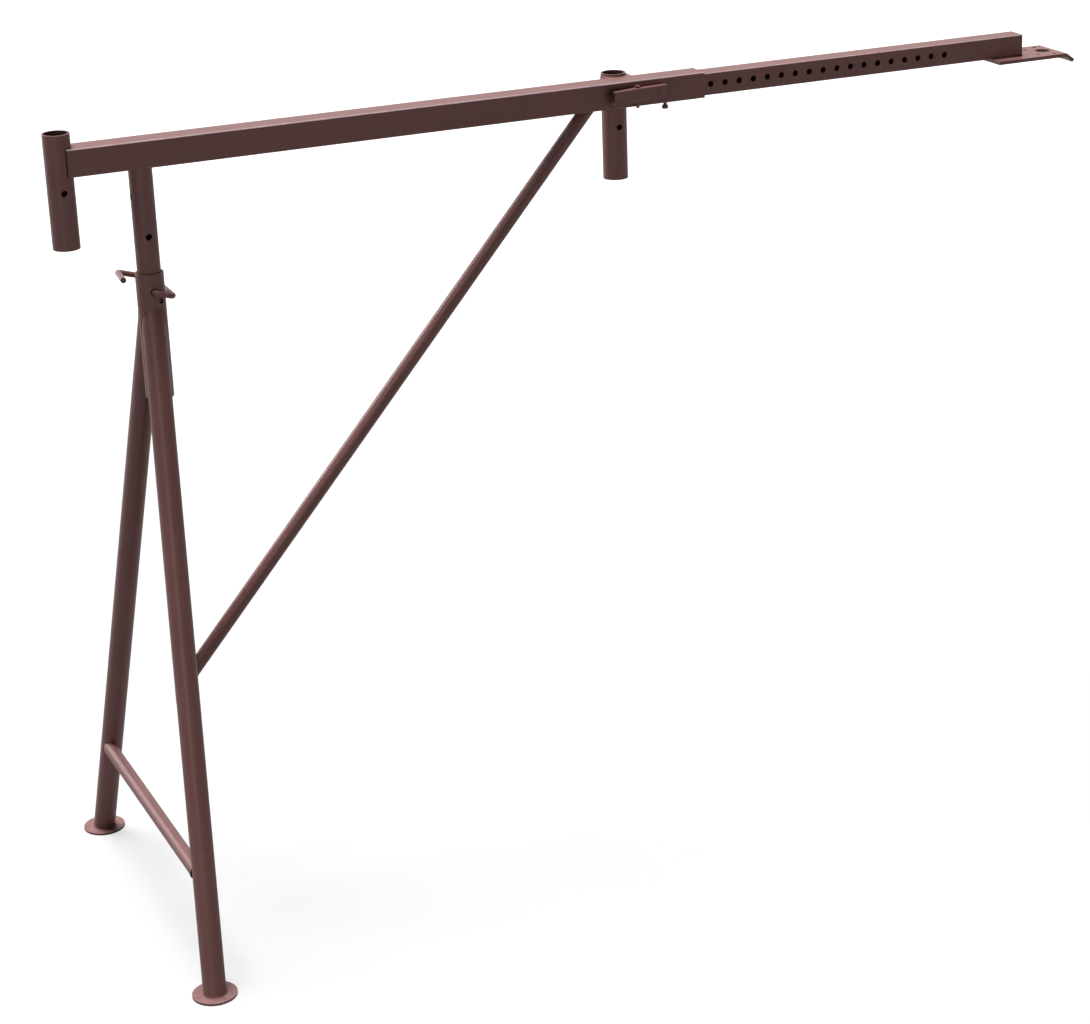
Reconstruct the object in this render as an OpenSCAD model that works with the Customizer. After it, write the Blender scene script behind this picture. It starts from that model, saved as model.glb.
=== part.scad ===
// Builders trestle. A splayed leg frame carries a mast and a telescopic beam whose far end rests on a wall.
// X runs along the beam to the wall, Y to the rear, Z up. The floor is Z = 0 and the box is centred in X.

/* [Outer beam] */
// Outside width of the square outer beam
beam_w = 50; // [48:1:56]
// Wall of the outer beam
beam_wall = 3; // [2:0.5:4]
// Outside corner radius of the outer beam
beam_corner = 2.5; // [2:0.5:6]
// Length of the outer beam
beam_len = 1236; // [1200:1:1400]

/* [Inner beam] */
// Clearance round the inner beam inside the outer beam
slide_gap = 0.5; // [0.3:0.1:1]
// Wall of the inner beam
inner_wall = 3; // [2:0.5:4]
// Outside corner radius of the inner beam
inner_corner = 2; // [1.5:0.5:5]
// Length of the inner beam
inner_len = 1161; // [1100:1:1180]
// Length of the inner beam that stands out of the outer beam
inner_out = 725; // [700:1:760]
// Spacing of the adjusting holes
hole_pitch = 30.9; // [29:0.1:32]
// Diameter of the adjusting holes
hole_d = 12; // [11:0.5:14]
// Distance from the outer beam's end to the first hole outside it
first_hole = 15; // [12:1:20]
// Number of adjusting holes outside the outer beam
holes_out = 18; // [6:1:18]
// Number of adjusting holes inside the outer beam
holes_in = 7; // [6:1:9]

/* [Wall plate] */
// Length of the flat part of the wall plate
plate_len = 162; // [155:1:220]
// Width of the wall plate
plate_w = 100; // [94:1:140]
// Thickness of the wall plate
plate_t = 7; // [3:0.5:8]
// Length of the plate that lies under the inner beam
plate_lap = 72; // [50:1:80]
// Length of the plate's bent lip
lip_len = 23; // [15:1:40]
// Angle of the lip below the plate
lip_angle = 36; // [20:1:60]
// Diameter of the anchor hole
anchor_d = 30; // [20:1:34]
// Distance of the anchor hole from the bend
anchor_in = 26; // [24:1:32]
// Diameter of the nail holes
nail_d = 6; // [4:0.5:8]
// Spacing of the inner pair of nail holes
nail_inner = 51; // [46:1:70]
// Distance of the inner pair from the bend
nail_inner_in = 53; // [48:1:65]
// Spacing of the outer pair of nail holes
nail_outer = 72; // [62:1:80]
// Distance of the outer pair from the bend
nail_outer_in = 21.5; // [15:0.5:28]

/* [Post sockets] */
// Outside diameter of the guard post sockets
socket_d = 48.3; // [46:0.1:52]
// Wall of the sockets
socket_wall = 3.2; // [2.5:0.1:4]
// Length of the sockets
socket_len = 205; // [180:1:240]
// Diameter of the cross holes in the sockets
socket_hole_d = 12; // [8:0.5:16]
// Distance of the end socket's axis from the outer beam's end
end_socket_out = 10; // [8:0.5:14]
// Height of the end socket's top above the beam's top
end_socket_rise = 26; // [10:1:40]
// Position of the middle socket along the beam
mid_socket_x = 1078; // [900:1:1120]
// Height of the middle socket's top above the beam's top
mid_socket_rise = 4; // [2:1:20]
// Width of the gussets that hold the middle socket
gusset_w = 55; // [52:1:80]
// Thickness of the gussets that hold the middle socket
gusset_t = 6; // [4:0.5:10]
// Depth of the gussets' top below the beam's top
gusset_drop = 0.5; // [0:0.5:6]

/* [Mast and brace] */
// Outside diameter of the mast and legs
leg_d = 42.4; // [40:0.1:44]
// Wall of the mast
mast_wall = 3.2; // [2:0.1:4]
// Position of the mast along the beam
mast_x = 132.4; // [110:0.1:160]
// Length of the mast
mast_len = 1035; // [1030:1:1080]
// Diameter of the mast's holes
mast_hole_d = 12; // [11.5:0.5:14]
// Depth of the first pin hole below the beam
mast_hole_first = 124; // [110:1:140]
// Spacing of the pin holes
mast_hole_pitch = 100; // [90:1:105]
// Number of pin holes
mast_hole_count = 7; // [4:1:7]
// Depth of the first side hole below the beam
side_hole_first = 52; // [40:1:60]
// Number of side holes, at twice the pin hole spacing
side_hole_count = 4; // [1:1:4]
// Outside diameter of the brace
brace_d = 26.9; // [21.3:0.1:33.7]
// Wall of the brace
brace_wall = 2.6; // [2:0.1:4]
// Position along the beam where the brace's axis meets its underside
brace_x = 997.4; // [900:0.1:1050]
// Depth below the beam where the brace's axis meets the mast's axis
brace_drop = 992; // [970:1:995]

/* [Leg frame] */
// Clearance round the mast inside the sleeve
sleeve_gap = 0.8; // [0.4:0.1:1.5]
// Wall of the sleeve
sleeve_wall = 3.5; // [2.5:0.1:5]
// Length of the sleeve
sleeve_len = 232; // [200:1:240]
// Distance of the pin hole from the sleeve's top
sleeve_hole_in = 32; // [28:1:34]
// Diameter of the small hole in the sleeve's front
vent_d = 10; // [6:0.5:12]
// Distance of the small hole below the pin hole
vent_drop = 18; // [16:1:24]
// Turn of the small hole from the front towards the wall
vent_turn = 28; // [20:1:40]
// Pin holes of the mast that are left above the locking pin
pin_hole = 1; // [1:1:3]
// Wall of the legs
leg_wall = 3; // [2:0.1:4]
// Height above the floor at which the legs' axes meet the mast
leg_meet_h = 1200; // [1150:1:1400]
// Distance of that point below the locking pin
leg_meet_in = 21; // [18:1:30]
// Splay of each leg to the front or rear
leg_splay = 17.2; // [15:0.1:20]
// Lean of both legs away from the wall
leg_lean = 4.6; // [3:0.1:6]
// Diameter of the foot discs
foot_d = 82; // [70:1:120]
// Thickness of the foot discs
foot_t = 4; // [3:0.5:8]
// Outside diameter of the tie bar
tie_d = 26.9; // [21.3:0.1:33.7]
// Wall of the tie bar
tie_wall = 2.6; // [2:0.1:4]
// Height of the tie bar's axis above the floor
tie_h = 210; // [120:1:240]
// Offset of the tie bar's axis from the legs' axes, away from the wall
tie_off = 8; // [0:0.5:12]
// Distance of the tie bar's cut ends from the legs' axes
tie_end = 14; // [8:1:16]

/* [Locking pin] */
// Diameter of the locking pin's bar
pin_d = 10.5; // [9:0.1:10.8]
// Bend radius at the bar's axis
pin_bend = 8; // [7:0.5:12]
// Length of the pin that stands out behind the sleeve
pin_tip = 4.5; // [2:0.5:10]
// Clearance between the bar's front run and the sleeve
pin_seat = 1; // [0.5:0.1:3]
// Clearance between the bow's side run and the sleeve
bow_gap = 1.7; // [1:0.1:5]
// Distance of the bow's rear run behind the mast's axis
bow_back = 107; // [100:1:130]
// Reach of the bow past the pin on the far side
bow_left = 31; // [20:1:34]
// Reach of the bow's free end past the pin
hook_out = 39; // [36:1:45]
// Distance of the free end behind the mast's axis
hook_back = 40; // [36:1:60]
// Turn of the bow about the pin
bow_turn = 17; // [0:1:18]

/* [Latch] */
// Number of holes from the first outer one back to the locked one
lock_hole = 4; // [4:1:5]
// Extra radius of the lock's hole in the outer beam
lock_play = 0.5; // [0.4:0.1:1]
// Diameter of the lock pin's head in the channel
lock_plug_d = 10.5; // [9.5:0.1:12]
// Diameter of the lock pin's nose
lock_d = 8; // [6:0.1:8.4]
// Diameter of the nose at its tip
lock_tip_d = 5; // [3:0.5:5.5]
// Length of the nose's tapered tip
lock_point = 3; // [2:0.5:4]
// Reach of the nose past the inner beam's wall
lock_reach = 1; // [0.5:0.1:1.2]
// Distance of the pivot from the lock pin along the beam
pivot_back = 38.4; // [37:0.1:42]
// Distance of the pivot's axis from the beam's face
pivot_off = 9; // [9:0.1:11]
// Diameter of the pivot pin
pivot_d = 6.5; // [5:0.1:7]
// Running clearance round the pivot pin
pivot_gap = 0.05; // [0.02:0.01:0.1]
// Diameter of the pivot pin's head
pivot_head_d = 10; // [9:0.5:14]
// Height of the pivot pin's head
pivot_head_h = 4; // [2:0.5:6]
// Length of the pivot pin below the channel
pivot_tail = 12; // [6:1:16]
// Diameter of the retaining ring on the pivot pin
clip_d = 11; // [10:0.5:14]
// Thickness of the retaining ring
clip_t = 1.5; // [1:0.1:3]
// Height of the latch channel
latch_h = 26; // [25:1:32]
// Thickness of the latch channel
latch_t = 3; // [2:0.1:3]
// Distance of the web's front face from the pivot's axis
latch_front = 10.8; // [10.8:0.1:12]
// Length of the web from the pivot to its pressed end
latch_left = 55.4; // [50:0.1:70]
// Length of the web from the pivot to its locking end
latch_right = 60.2; // [56:0.1:62]
// Angle of the locked channel to the beam
latch_angle = 6; // [5.5:0.1:6.5]
// Depth of the flanges at the pressed end
flange_left = 8; // [5:0.1:10]
// Depth of the flanges at the locking end
flange_right = 12.5; // [8:0.1:12.5]
// Radius of the flanges round the pivot
flange_r = 7; // [6:0.1:7.5]
// Clearance between the channel's flanges, the lugs and the retaining ring
latch_gap = 0.3; // [0.3:0.1:0.6]
// Width of the lugs
lug_w = 14; // [12:0.5:14.5]
// Thickness of the lugs
lug_t = 4; // [3:0.1:4]
// Wire diameter of the latch spring
spring_wire = 1.4; // [1:0.1:1.6]
// Mean coil diameter of the latch spring
spring_coil = 9; // [7:0.1:9.5]
// Turns of the latch spring
spring_turns = 6; // [4:1:6]
// Distance of the latch spring from the pivot
spring_back = 38; // [30:0.5:44]
// Clearance at each end of the latch spring
spring_seat = 0.1; // [0.05:0.01:0.2]

/* [Clamp screw] */
// Distance of the clamp screw from the outer beam's end
clamp_in = 73; // [60:1:90]
// Diameter of the clamp screw
clamp_d = 6; // [5:0.5:7]
// Running clearance round the clamp screw
clamp_gap = 0.05; // [0.02:0.01:0.1]
// Clearance between the clamp screw's tip and the inner beam
clamp_tip_gap = 0.3; // [0.3:0.1:1]
// Length of the screw's neck below its nut
clamp_neck = 3; // [2:0.5:10]
// Height of the cone between the neck and the head
clamp_cone = 2; // [1:0.5:4]
// Diameter of the screw's head
clamp_head_d = 12; // [9:0.5:14]
// Height of the screw's head
clamp_head_h = 6; // [5:0.5:8]
// Width across the flats of the head's socket
clamp_key = 5; // [3:0.5:6]
// Width across the flats of the screw's nut
clamp_nut_af = 10; // [9:0.5:13]
// Height of the screw's nut
clamp_nut_h = 5; // [3:0.5:8]

/* [Hidden] */
$fn = 64;
paint = [0.29, 0.20, 0.19];
steel = [0.55, 0.54, 0.53];
// Cutters run past the faces they cut by this much
over = 5;
// Bends of a bar swell by this much in radius
bend_swell = 0.1;
// Straight runs of a bar reach this far into its bends
bend_lap = 0.3;
// Gap at coped joints, filled by the weld
weld_gap = 0.1;
inner_w = beam_w - 2 * beam_wall - 2 * slide_gap;
inner_x1 = beam_len + inner_out;
inner_x0 = inner_x1 - inner_len;
lock_x = beam_len + first_hole - lock_hole * hole_pitch;
under_z = -beam_w / 2;
pin_z = under_z - mast_hole_first - pin_hole * mast_hole_pitch;
meet_z = pin_z - leg_meet_in;
floor_z = meet_z - leg_meet_h;
sleeve_d = leg_d + 2 * (sleeve_gap + sleeve_wall);
sleeve_top = pin_z + sleeve_hole_in;
socket_bore = socket_d - 2 * socket_wall;
end_socket_top = beam_w / 2 + end_socket_rise;
mid_socket_top = beam_w / 2 + mid_socket_rise;
mid_socket_y = beam_w / 2 + socket_d / 2 + weld_gap;
bend_x = inner_x1 - plate_lap + plate_len;
plate_top = -inner_w / 2;
lip_x = bend_x + lip_len * cos(lip_angle);
lip_z = plate_top - lip_len * sin(lip_angle);
// The lip's lower corner, square to its face
lip_low_x = lip_x - plate_t * sin(lip_angle);
lip_low_z = lip_z - plate_t * cos(lip_angle);
bend_low_x = bend_x - plate_t * tan(lip_angle / 2);
origin_x = (lip_x - end_socket_out - socket_d / 2) / 2;
pivot_x = lock_x - pivot_back;
pivot_y = -beam_w / 2 - pivot_off;
clamp_x = beam_len - clamp_in;
nut_z = under_z - clamp_nut_h;
tip_y = -inner_w / 2 + inner_wall + lock_reach;
// Where the web's middle crosses the lock pin's axis
web_y = pivot_y + (pivot_back * sin(latch_angle) - latch_front + latch_t / 2) / cos(latch_angle);
// Where the web's rear face crosses the latch spring's axis
seat_y = pivot_y + (-spring_back * sin(latch_angle) - latch_front + latch_t) / cos(latch_angle);
spring_x = pivot_x - spring_back;
spring_r = spring_coil / 2;
spring_y0 = under_z - spring_seat - spring_wire / 2;
spring_y1 = seat_y + (spring_r + spring_wire / 2) * tan(latch_angle) + spring_seat + spring_wire / 2;
brace_run = norm([brace_x - mast_x, brace_drop]);
brace_rise = atan2(brace_drop, brace_x - mast_x);
foot_z = floor_z + foot_t;
// Offset of a leg's axis from the mast's axis at a depth below the meeting point
function leg_at(side, depth) = [-tan(leg_lean) * depth, side * tan(leg_splay) * depth, -depth];
leg_run = norm(leg_at(1, leg_meet_h)) + leg_d;

// Moves a piece from the beam's own axes to the part's frame.
module place() {
    translate([-origin_x, 0, -floor_z]) children();
}

// A square outline with round corners.
module rounded_square(w, r) {
    square([w, w - 2 * r], center = true);
    square([w - 2 * r, w], center = true);
    for (sx = [-1, 1], sy = [-1, 1])
        translate([sx * (w / 2 - r), sy * (w / 2 - r)]) circle(r = r);
}

// A square tube along X.
module square_tube(length, w, wall, corner) {
    rotate([90, 0, 90]) linear_extrude(length) difference() {
        rounded_square(w, corner);
        rounded_square(w - 2 * wall, max(corner - wall, 0.5));
    }
}

// A round tube along Z, hanging from its top.
module round_tube(length, d, wall) {
    translate([0, 0, -length]) difference() {
        cylinder(d = d, h = length);
        translate([0, 0, -over]) cylinder(d = d - 2 * wall, h = length + 2 * over);
    }
}

// A cutter along Y for holes through both walls of a tube.
module cross_hole(d, reach) {
    rotate([90, 0, 0]) cylinder(d = d, h = reach + 2 * over, center = true);
}

// A rod down the axis of one leg; side is -1 for the front, 1 for the rear.
module leg_rod(side, d) {
    along = leg_at(side, 1);
    translate([mast_x, 0, meet_z])
        rotate([0, atan2(norm([along[0], along[1]]), along[2]), atan2(along[1], along[0])])
            cylinder(d = d, h = leg_run);
}

// A box far larger than the part under or over a level, used to trim ends.
module half_space(z, up) {
    translate([-500, -1000, up ? z : z - 400]) cube([3000, 2000, 400]);
}

// One leg, coped to the sleeve and cut level at its foot.
module leg(side) {
    difference() {
        leg_rod(side, leg_d);
        leg_rod(side, leg_d - 2 * leg_wall);
        translate([mast_x, 0, sleeve_top - sleeve_len]) cylinder(d = sleeve_d + 2 * weld_gap, h = sleeve_len);
        half_space(foot_z, false);
    }
}

// One foot disc under a leg.
module foot(side) {
    at = leg_at(side, leg_meet_h - foot_t);
    translate([mast_x + at[0], at[1], floor_z]) cylinder(d = foot_d, h = foot_t);
}

// A socket for a guard post, hanging from its top, with a cross hole at mid length.
module post_socket() {
    difference() {
        round_tube(socket_len, socket_d, socket_wall);
        translate([0, 0, -socket_len / 2]) cross_hole(socket_hole_d, socket_d);
    }
}

// Heading of one straight run of a bent bar.
function heading(a, b) = atan2(b[1] - a[1], b[0] - a[0]);
// Turn at one corner of a bent bar.
function corner_turn(p, i) = let (t = heading(p[i], p[i + 1]) - heading(p[i - 1], p[i]))
    t > 180 ? t - 360 : t < -180 ? t + 360 : t;
// Length of a run that its bend takes up.
function trim(p, i, r) = i == 0 || i == len(p) - 1 ? 0 : r * tan(abs(corner_turn(p, i)) / 2);
// Trim of a straight run, which laps a little into the bend.
function run_trim(p, i, r) = max(trim(p, i, r) - bend_lap, 0);

// A round bar bent in the XY plane along a path.
module bent_bar(p, d, r) {
    for (i = [0 : len(p) - 2])
        translate([p[i][0], p[i][1], 0]) rotate([0, 0, heading(p[i], p[i + 1])])
            translate([run_trim(p, i, r), 0, 0]) rotate([0, 90, 0])
                cylinder(d = d, h = norm(p[i + 1] - p[i]) - run_trim(p, i, r) - run_trim(p, i + 1, r));
    for (i = [1 : len(p) - 2])
        translate([p[i][0], p[i][1], 0]) rotate([0, 0, heading(p[i - 1], p[i])])
            translate([-trim(p, i, r), sign(corner_turn(p, i)) * r, 0])
                rotate([0, 0, corner_turn(p, i) > 0 ? -90 : 90 - abs(corner_turn(p, i))])
                    rotate_extrude(angle = abs(corner_turn(p, i)))
                        translate([r, 0]) circle(d = d + 2 * bend_swell);
}

// The axes of the locked channel, at its pivot.
module latch_axes() {
    translate([pivot_x, pivot_y, 0]) rotate([0, 0, latch_angle]) children();
}

// The channel's web as a plain slab.
module latch_web() {
    translate([-latch_left, -latch_front, -latch_h / 2]) cube([latch_left + latch_right, latch_t, latch_h]);
}

// One flange of the channel.
module latch_flange() {
    linear_extrude(latch_t) polygon([
        [-latch_left, -latch_front], [latch_right, -latch_front], [latch_right, flange_right - latch_front],
        [0.8 * flange_r, 0.5 * flange_r], [-0.8 * flange_r, 0.5 * flange_r],
        [-latch_left, flange_left - latch_front]]);
    cylinder(r = flange_r, h = latch_t);
}

// One lug on the beam's face that holds the pivot pin.
module lug() {
    difference() {
        union() {
            cylinder(d = lug_w, h = lug_t);
            translate([-lug_w / 2, 0, 0]) cube([lug_w, pivot_off, lug_t]);
        }
        translate([0, 0, -over]) cylinder(d = pivot_d + 2 * pivot_gap, h = lug_t + 2 * over);
    }
}

lug_z = latch_h / 2 - latch_t - latch_gap - lug_t;

// Sleeve on the mast, with the locking pin's hole.
module sleeve() color(paint) place() translate([mast_x, 0, sleeve_top]) {
    difference() {
        round_tube(sleeve_len, sleeve_d, sleeve_wall);
        translate([0, 0, -sleeve_hole_in]) cross_hole(mast_hole_d, sleeve_d);
        translate([0, 0, -sleeve_hole_in - vent_drop]) rotate([90, 0, vent_turn])
            translate([0, 0, sleeve_d / 2 - sleeve_wall - over])
                cylinder(d = vent_d, h = sleeve_wall + 2 * over);
    }
}

module front_leg() color(paint) place() leg(-1);

module rear_leg() color(paint) place() leg(1);

module front_foot() color(paint) place() foot(-1);

module rear_foot() color(paint) place() foot(1);

// Bar between the legs near the floor, set to one side of their axes and coped to both.
module tie_bar() color(paint) place() {
    depth = leg_meet_h - tie_h;
    half = leg_at(1, depth)[1] - tie_end;
    axis_x = mast_x + leg_at(1, depth)[0] - tie_off;
    difference() {
        translate([axis_x, -half, floor_z + tie_h]) rotate([-90, 0, 0]) difference() {
            cylinder(d = tie_d, h = 2 * half);
            translate([0, 0, -over]) cylinder(d = tie_d - 2 * tie_wall, h = 2 * half + 2 * over);
        }
        leg_rod(-1, leg_d + 2 * weld_gap);
        leg_rod(1, leg_d + 2 * weld_gap);
    }
}

// Outer beam, coped round the end socket, with holes for the lock pin and the clamp screw.
module outer_beam() color(paint) place() difference() {
    square_tube(beam_len, beam_w, beam_wall, beam_corner);
    translate([-end_socket_out, 0, -beam_w]) cylinder(d = socket_d + 2 * weld_gap, h = 2 * beam_w);
    translate([lock_x, -beam_w / 2 - over, 0]) rotate([-90, 0, 0])
        cylinder(d = hole_d + 2 * lock_play, h = beam_wall + 2 * over);
    translate([clamp_x, 0, under_z - over]) cylinder(d = clamp_d + 2 * clamp_gap, h = beam_wall + 2 * over);
}

// Mast under the beam, with two rows of holes.
module mast() color(paint) place() translate([mast_x, 0, under_z]) {
    difference() {
        round_tube(mast_len, leg_d, mast_wall);
        for (i = [0 : mast_hole_count - 1])
            translate([0, 0, -mast_hole_first - i * mast_hole_pitch]) cross_hole(mast_hole_d, leg_d);
        for (i = [0 : side_hole_count - 1])
            translate([0, 0, -side_hole_first - 2 * i * mast_hole_pitch])
                rotate([0, 0, 90]) cross_hole(mast_hole_d, leg_d);
    }
}

// Brace from the mast's foot to the beam.
module brace() color(paint) place() difference() {
    translate([mast_x, 0, under_z - brace_drop]) rotate([0, 90 - brace_rise, 0]) difference() {
        cylinder(d = brace_d, h = brace_run + 2 * brace_d);
        translate([0, 0, -over])
            cylinder(d = brace_d - 2 * brace_wall, h = brace_run + 2 * brace_d + 2 * over);
    }
    half_space(under_z, true);
    translate([mast_x, 0, under_z - mast_len]) cylinder(d = leg_d + 2 * weld_gap, h = mast_len);
}

module end_socket() color(paint) place() translate([-end_socket_out, 0, end_socket_top]) post_socket();

module middle_socket() color(paint) place()
    translate([mid_socket_x, mid_socket_y, mid_socket_top]) post_socket();

// One gusset between the beam's rear face and the middle socket; side is -1 or 1 along the beam.
module gusset(side) {
    low_z = beam_w / 2 - gusset_drop - gusset_t;
    difference() {
        translate([mid_socket_x + (side < 0 ? -gusset_w / 2 : 0), beam_w / 2, low_z])
            cube([gusset_w / 2, mid_socket_y - beam_w / 2, gusset_t]);
        translate([mid_socket_x, mid_socket_y, -beam_w])
            cylinder(d = socket_d + 2 * weld_gap, h = 2 * beam_w);
    }
}

module left_gusset() color(paint) place() gusset(-1);

module right_gusset() color(paint) place() gusset(1);

module upper_lug() color(paint) place() translate([pivot_x, pivot_y, lug_z]) lug();

module lower_lug() color(paint) place() translate([pivot_x, pivot_y, -lug_z - lug_t]) lug();

// Headed pin on which the latch channel rocks.
module pivot_pin() color(steel) place() translate([pivot_x, pivot_y, 0]) {
    tail_z = -latch_h / 2 - pivot_tail;
    head_z = latch_h / 2 + latch_gap;
    translate([0, 0, tail_z]) cylinder(d = pivot_d, h = head_z - tail_z);
    translate([0, 0, head_z]) cylinder(d = pivot_head_d, h = pivot_head_h);
}

// Ring that keeps the pivot pin in place.
module pivot_clip() color(steel) place() translate([pivot_x, pivot_y, -latch_h / 2 - latch_gap - clip_t]) {
    difference() {
        cylinder(d = clip_d, h = clip_t);
        translate([0, 0, -over]) cylinder(d = pivot_d + 2 * pivot_gap, h = clip_t + 2 * over);
    }
}

// Nut under the outer beam for the clamp screw.
module clamp_nut() color(paint) place() translate([clamp_x, 0, nut_z]) difference() {
    cylinder(d = clamp_nut_af / cos(30), h = clamp_nut_h, $fn = 6);
    translate([0, 0, -over]) cylinder(d = clamp_d + 2 * clamp_gap, h = clamp_nut_h + 2 * over);
}

// Inner beam with its row of adjusting holes.
module inner_beam() color(paint) place() difference() {
    translate([inner_x0, 0, 0]) square_tube(inner_len, inner_w, inner_wall, inner_corner);
    for (k = [-holes_in : holes_out - 1])
        translate([beam_len + first_hole + k * hole_pitch, -inner_w / 2 - over, 0]) rotate([-90, 0, 0])
            cylinder(d = hole_d, h = inner_wall + 2 * over);
}

// Plate with a bent lip that rests on the wall.
module wall_plate() color(paint) place() difference() {
    rotate([90, 0, 0]) linear_extrude(plate_w, center = true) polygon([
        [bend_x - plate_len, plate_top], [bend_x, plate_top], [lip_x, lip_z], [lip_low_x, lip_low_z],
        [bend_low_x, plate_top - plate_t], [bend_x - plate_len, plate_top - plate_t]]);
    translate([bend_x - anchor_in, 0, plate_top - plate_t - over])
        cylinder(d = anchor_d, h = plate_t + 2 * over);
    for (side = [-1, 1]) {
        translate([bend_x - nail_inner_in, side * nail_inner / 2, plate_top - plate_t - over])
            cylinder(d = nail_d, h = plate_t + 2 * over);
        translate([bend_x - nail_outer_in, side * nail_outer / 2, plate_top - plate_t - over])
            cylinder(d = nail_d, h = plate_t + 2 * over);
    }
}

// Rocking channel of the latch.
module latch_channel() color(paint) place() difference() {
    latch_axes() {
        latch_web();
        translate([0, 0, latch_h / 2 - latch_t]) latch_flange();
        translate([0, 0, -latch_h / 2]) latch_flange();
    }
    translate([pivot_x, pivot_y, -latch_h]) cylinder(d = pivot_d + 2 * pivot_gap, h = 2 * latch_h);
    translate([lock_x, web_y, 0]) cross_hole(lock_plug_d, latch_t);
}

// Pin on the channel that enters the beams' holes.
module lock_pin() color(steel) place() {
    intersection() {
        translate([lock_x, web_y, 0]) cross_hole(lock_plug_d, latch_t);
        latch_axes() latch_web();
    }
    translate([lock_x, web_y, 0]) rotate([-90, 0, 0]) {
        cylinder(d = lock_d, h = tip_y - web_y - lock_point);
        translate([0, 0, tip_y - web_y - lock_point])
            cylinder(d1 = lock_d, d2 = lock_tip_d, h = lock_point);
    }
}

// Points of the latch spring's wire, ring by ring.
spring_rings = 10 * spring_turns;
spring_sides = 6;
function spring_axis(i) = [spring_r * cos(360 * spring_turns * i / spring_rings),
    spring_y0 + (spring_y1 - spring_y0) * i / spring_rings,
    spring_r * sin(360 * spring_turns * i / spring_rings)];
function spring_point(i, j) = let (a = 360 * spring_turns * i / spring_rings, b = 360 * j / spring_sides)
    spring_axis(i) + spring_wire / 2 * [cos(a) * cos(b), sin(b), sin(a) * cos(b)];
spring_points = [for (i = [0 : spring_rings]) for (j = [0 : spring_sides - 1]) spring_point(i, j)];
function spring_at(i, j) = i * spring_sides + j % spring_sides;
spring_walls = [for (i = [0 : spring_rings - 1]) for (j = [0 : spring_sides - 1]) for (half = [0, 1])
    half == 0 ? [spring_at(i, j), spring_at(i + 1, j), spring_at(i + 1, j + 1)]
        : [spring_at(i, j), spring_at(i + 1, j + 1), spring_at(i, j + 1)]];
spring_caps = [for (j = [1 : spring_sides - 2]) for (end = [0, 1])
    end == 0 ? [0, j, j + 1]
        : [spring_at(spring_rings, 0), spring_at(spring_rings, j + 1), spring_at(spring_rings, j)]];
// Least gap of the wire to itself, from points one turn apart
spring_gap = min([for (i = [0 : 9]) for (j = [0 : spring_sides - 1]) for (k = [0 : spring_sides - 1])
    norm(spring_point(i, j) - spring_point(i + 10, k))]);

// Coil spring that presses the channel's far end away from the beam.
module latch_spring() color(steel) place() translate([spring_x, 0, 0]) {
    echo(spring_gap = spring_gap);
    polyhedron(points = spring_points, faces = concat(spring_walls, spring_caps), convexity = 8);
}

// Bent bar whose straight end locks the sleeve to the mast.
module locking_pin() color(paint) place() translate([mast_x, 0, pin_z]) rotate([0, bow_turn, 0]) {
    front_y = -(sleeve_d / 2 + pin_seat + pin_d / 2);
    side_x = (sleeve_d / 2 + pin_d / 2 + bow_gap) / cos(bow_turn);
    bent_bar([[0, sleeve_d / 2 + pin_tip], [0, front_y], [side_x, front_y], [side_x, bow_back],
        [-bow_left, bow_back], [-hook_out, hook_back]], pin_d, pin_bend);
}

// Screw that clamps the inner beam from below.
module clamp_screw() color(steel) place() translate([clamp_x, 0, 0]) {
    neck_z = nut_z - clamp_neck;
    cone_z = neck_z - clamp_cone;
    head_z = cone_z - clamp_head_h;
    translate([0, 0, neck_z]) cylinder(d = clamp_d, h = -inner_w / 2 - clamp_tip_gap - neck_z);
    translate([0, 0, cone_z]) cylinder(d1 = clamp_head_d, d2 = clamp_d, h = clamp_cone);
    translate([0, 0, head_z]) difference() {
        cylinder(d = clamp_head_d, h = clamp_head_h);
        translate([0, 0, -over])
            cylinder(d = clamp_key / cos(30), h = clamp_head_h / 2 + over, $fn = 6);
    }
}

sleeve();
front_leg();
rear_leg();
front_foot();
rear_foot();
tie_bar();
outer_beam();
mast();
brace();
end_socket();
middle_socket();
left_gusset();
right_gusset();
upper_lug();
lower_lug();
pivot_pin();
pivot_clip();
clamp_nut();
inner_beam();
wall_plate();
latch_channel();
lock_pin();
latch_spring();
locking_pin();
clamp_screw();
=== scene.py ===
"""Builders trestle: finishes, welds, seams, latch spring, floor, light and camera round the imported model."""
import logging
import math
from dataclasses import dataclass, replace
from enum import Enum

import bpy
from mathutils import Matrix, Vector


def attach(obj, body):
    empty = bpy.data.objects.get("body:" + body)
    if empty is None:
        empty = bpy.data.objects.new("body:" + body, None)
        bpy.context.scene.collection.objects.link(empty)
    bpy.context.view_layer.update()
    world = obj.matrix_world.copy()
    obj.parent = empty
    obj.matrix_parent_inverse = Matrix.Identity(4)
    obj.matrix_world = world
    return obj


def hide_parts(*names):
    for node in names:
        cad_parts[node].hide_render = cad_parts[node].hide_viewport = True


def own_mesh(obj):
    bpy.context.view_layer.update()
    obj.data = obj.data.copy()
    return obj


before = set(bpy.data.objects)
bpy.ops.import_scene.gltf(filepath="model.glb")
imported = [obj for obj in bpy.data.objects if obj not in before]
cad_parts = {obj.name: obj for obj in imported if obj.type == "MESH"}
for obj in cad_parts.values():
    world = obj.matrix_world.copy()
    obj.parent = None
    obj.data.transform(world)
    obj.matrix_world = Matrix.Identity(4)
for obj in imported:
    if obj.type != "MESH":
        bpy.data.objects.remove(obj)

LOG = logging.getLogger("trestle")
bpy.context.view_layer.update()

MM_PER_M = 1000
BEAM_END_X = -1.0177285
BEAM_HEIGHT = 1.470

Path = list[Vector]
Route = tuple[Path, bool]
RGB = tuple[float, float, float]
Point = tuple[float, float, float]


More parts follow.
